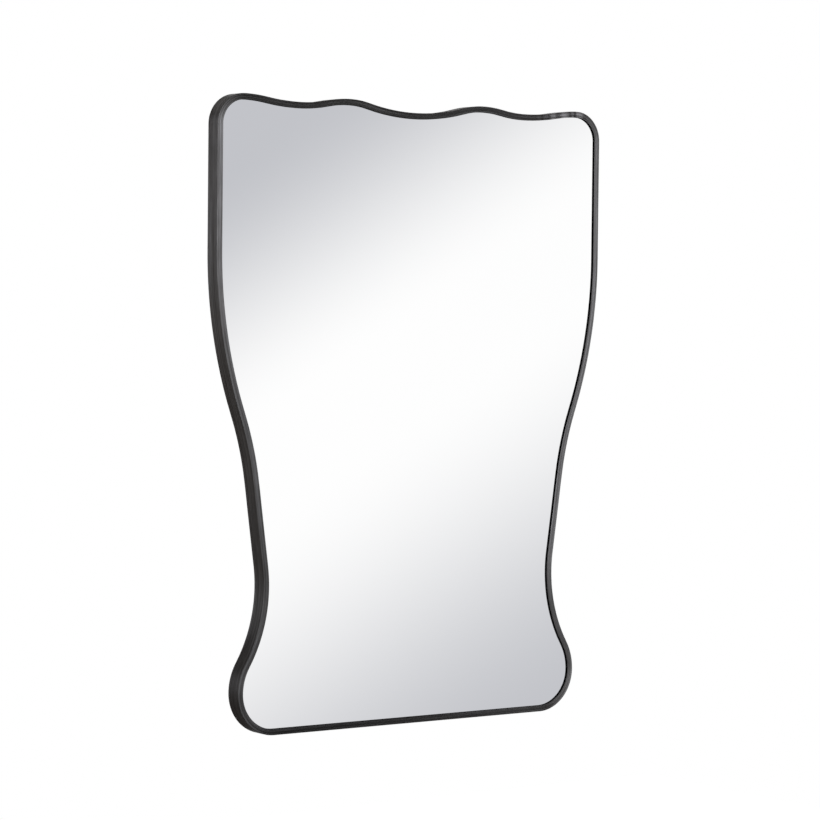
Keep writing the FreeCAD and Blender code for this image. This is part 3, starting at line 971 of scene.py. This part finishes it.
def make_floor():
    """A pale floor that shows white where it isn't in shadow, and that metal doesn't see."""
    material = bpy.data.materials.new("floor")
    material.use_nodes = True
    material.node_tree.nodes.clear()
    graph = Graph(material.node_tree)
    diffuse = graph.node("ShaderNodeBsdfDiffuse")
    speckle = graph.noise(graph.coordinates("Object"), 3.0, 2, 0.5)
    graph.link(graph.ramp(speckle, [(0.3, 0.80), (0.7, 0.84)]), diffuse.inputs["Color"])
    glow = graph.node("ShaderNodeEmission")
    glow.inputs["Strength"].default_value = 0.6
    path = graph.node("ShaderNodeLightPath")
    both = graph.node("ShaderNodeAddShader")
    graph.link(diffuse.outputs[0], both.inputs[0])
    graph.link(glow.outputs[0], both.inputs[1])
    mix = graph.node("ShaderNodeMixShader")
    graph.link(path.outputs["Is Camera Ray"], mix.inputs[0])
    graph.link(diffuse.outputs[0], mix.inputs[1])
    graph.link(both.outputs[0], mix.inputs[2])
    output = graph.node("ShaderNodeOutputMaterial")
    graph.link(mix.outputs[0], output.inputs["Surface"])
    signs = [(-1, -1), (1, -1), (1, 1), (-1, 1)]
    corners = [(x * FLOOR_REACH, y * FLOOR_REACH, FLOOR_Z) for x, y in signs]
    floor = mesh_object("floor", corners, [(0, 1, 2, 3)], material, smooth=False)
    floor.visible_glossy = False


def area_light(name, place, target, size, power):
    light = bpy.data.lights.new(name, "AREA")
    light.shape = "DISK"
    light.size = size
    light.energy = power
    lamp = bpy.data.objects.new(name, light)
    lamp.location = place
    lamp.rotation_euler = (Vector(target) - Vector(place)).to_track_quat("-Z", "Y").to_euler()
    lamp.visible_glossy = False
    bpy.context.scene.collection.objects.link(lamp)


def make_lights():
    middle = (cad_box[0] + cad_box[1]) / 2
    area_light("key", (-2.2, -2.6, 2.2), middle, 1.6, 90)
    area_light("fill", (2.6, -2.0, 1.0), middle, 1.8, 45)
    area_light("rear_key", (2.0, 2.6, 2.0), middle, 1.6, 80)
    area_light("rear_fill", (-2.4, 2.2, 0.6), middle, 1.8, 40)


def make_camera():
    camera_data = bpy.data.cameras.new("camera")
    camera_data.sensor_width = SENSOR
    camera_data.lens = FOCAL_PIXELS * SENSOR / PICTURE_SIDE
    camera = bpy.data.objects.new("camera", camera_data)
    aim = (Matrix.Rotation(-CAMERA_YAW, 4, "Z") @ Matrix.Rotation(CAMERA_PITCH, 4, "X")
           @ Matrix.Rotation(CAMERA_ROLL, 4, "Y") @ Matrix.Rotation(math.pi / 2, 4, "X"))
    camera.matrix_world = Matrix.Translation(CAMERA_PLACE) @ aim
    camera_data.clip_end = 50
    bpy.context.scene.collection.objects.link(camera)
    bpy.context.scene.camera = camera


# ---------------------------------------------------------------- the scene

outline = Outline()
make_frame(outline, brushed_frame_material(), rebate_black_material())
make_mirror(outline, silver_material(), backing_paint_material())
dress_nodes(["backing_board"], fibreboard_material())
lacquer = clip_lacquer_material()
for number in range(1, 7):
    make_clip(number, outline, lacquer)
zinc = zinc_material("zinc_plate", (0.58, 0.59, 0.61), (0.80, 0.81, 0.82), 0.28)
for side in ("right", "left"):
    strap = "hanger_strap_" + side
    settle(softened(strap, "strap_" + side, zinc), "hanger_steel", strap)
    make_ring(side, zinc)
screw_zinc = zinc_material("screw_zinc", (0.55, 0.54, 0.50), (0.76, 0.74, 0.68), 0.25)
make_screws("clip_screws", screw_zinc)
make_screws("hanger_screws", screw_zinc)
rubber = rubber_material("bumper_rubber", (0.025, 0.025, 0.025), 900)
for number in range(1, 5):
    make_bumper(number, rubber)
block_rubber = rubber_material("block_rubber", (0.06, 0.06, 0.06), 700)
dress_nodes(["setting_block_right", "setting_block_left"], block_rubber)
dress_nodes(["foam_tape"], rubber_material("foam", (0.55, 0.55, 0.53), 1500))

make_world()
make_floor()
make_lights()
make_camera()
bpy.context.scene.view_settings.view_transform = "Standard"
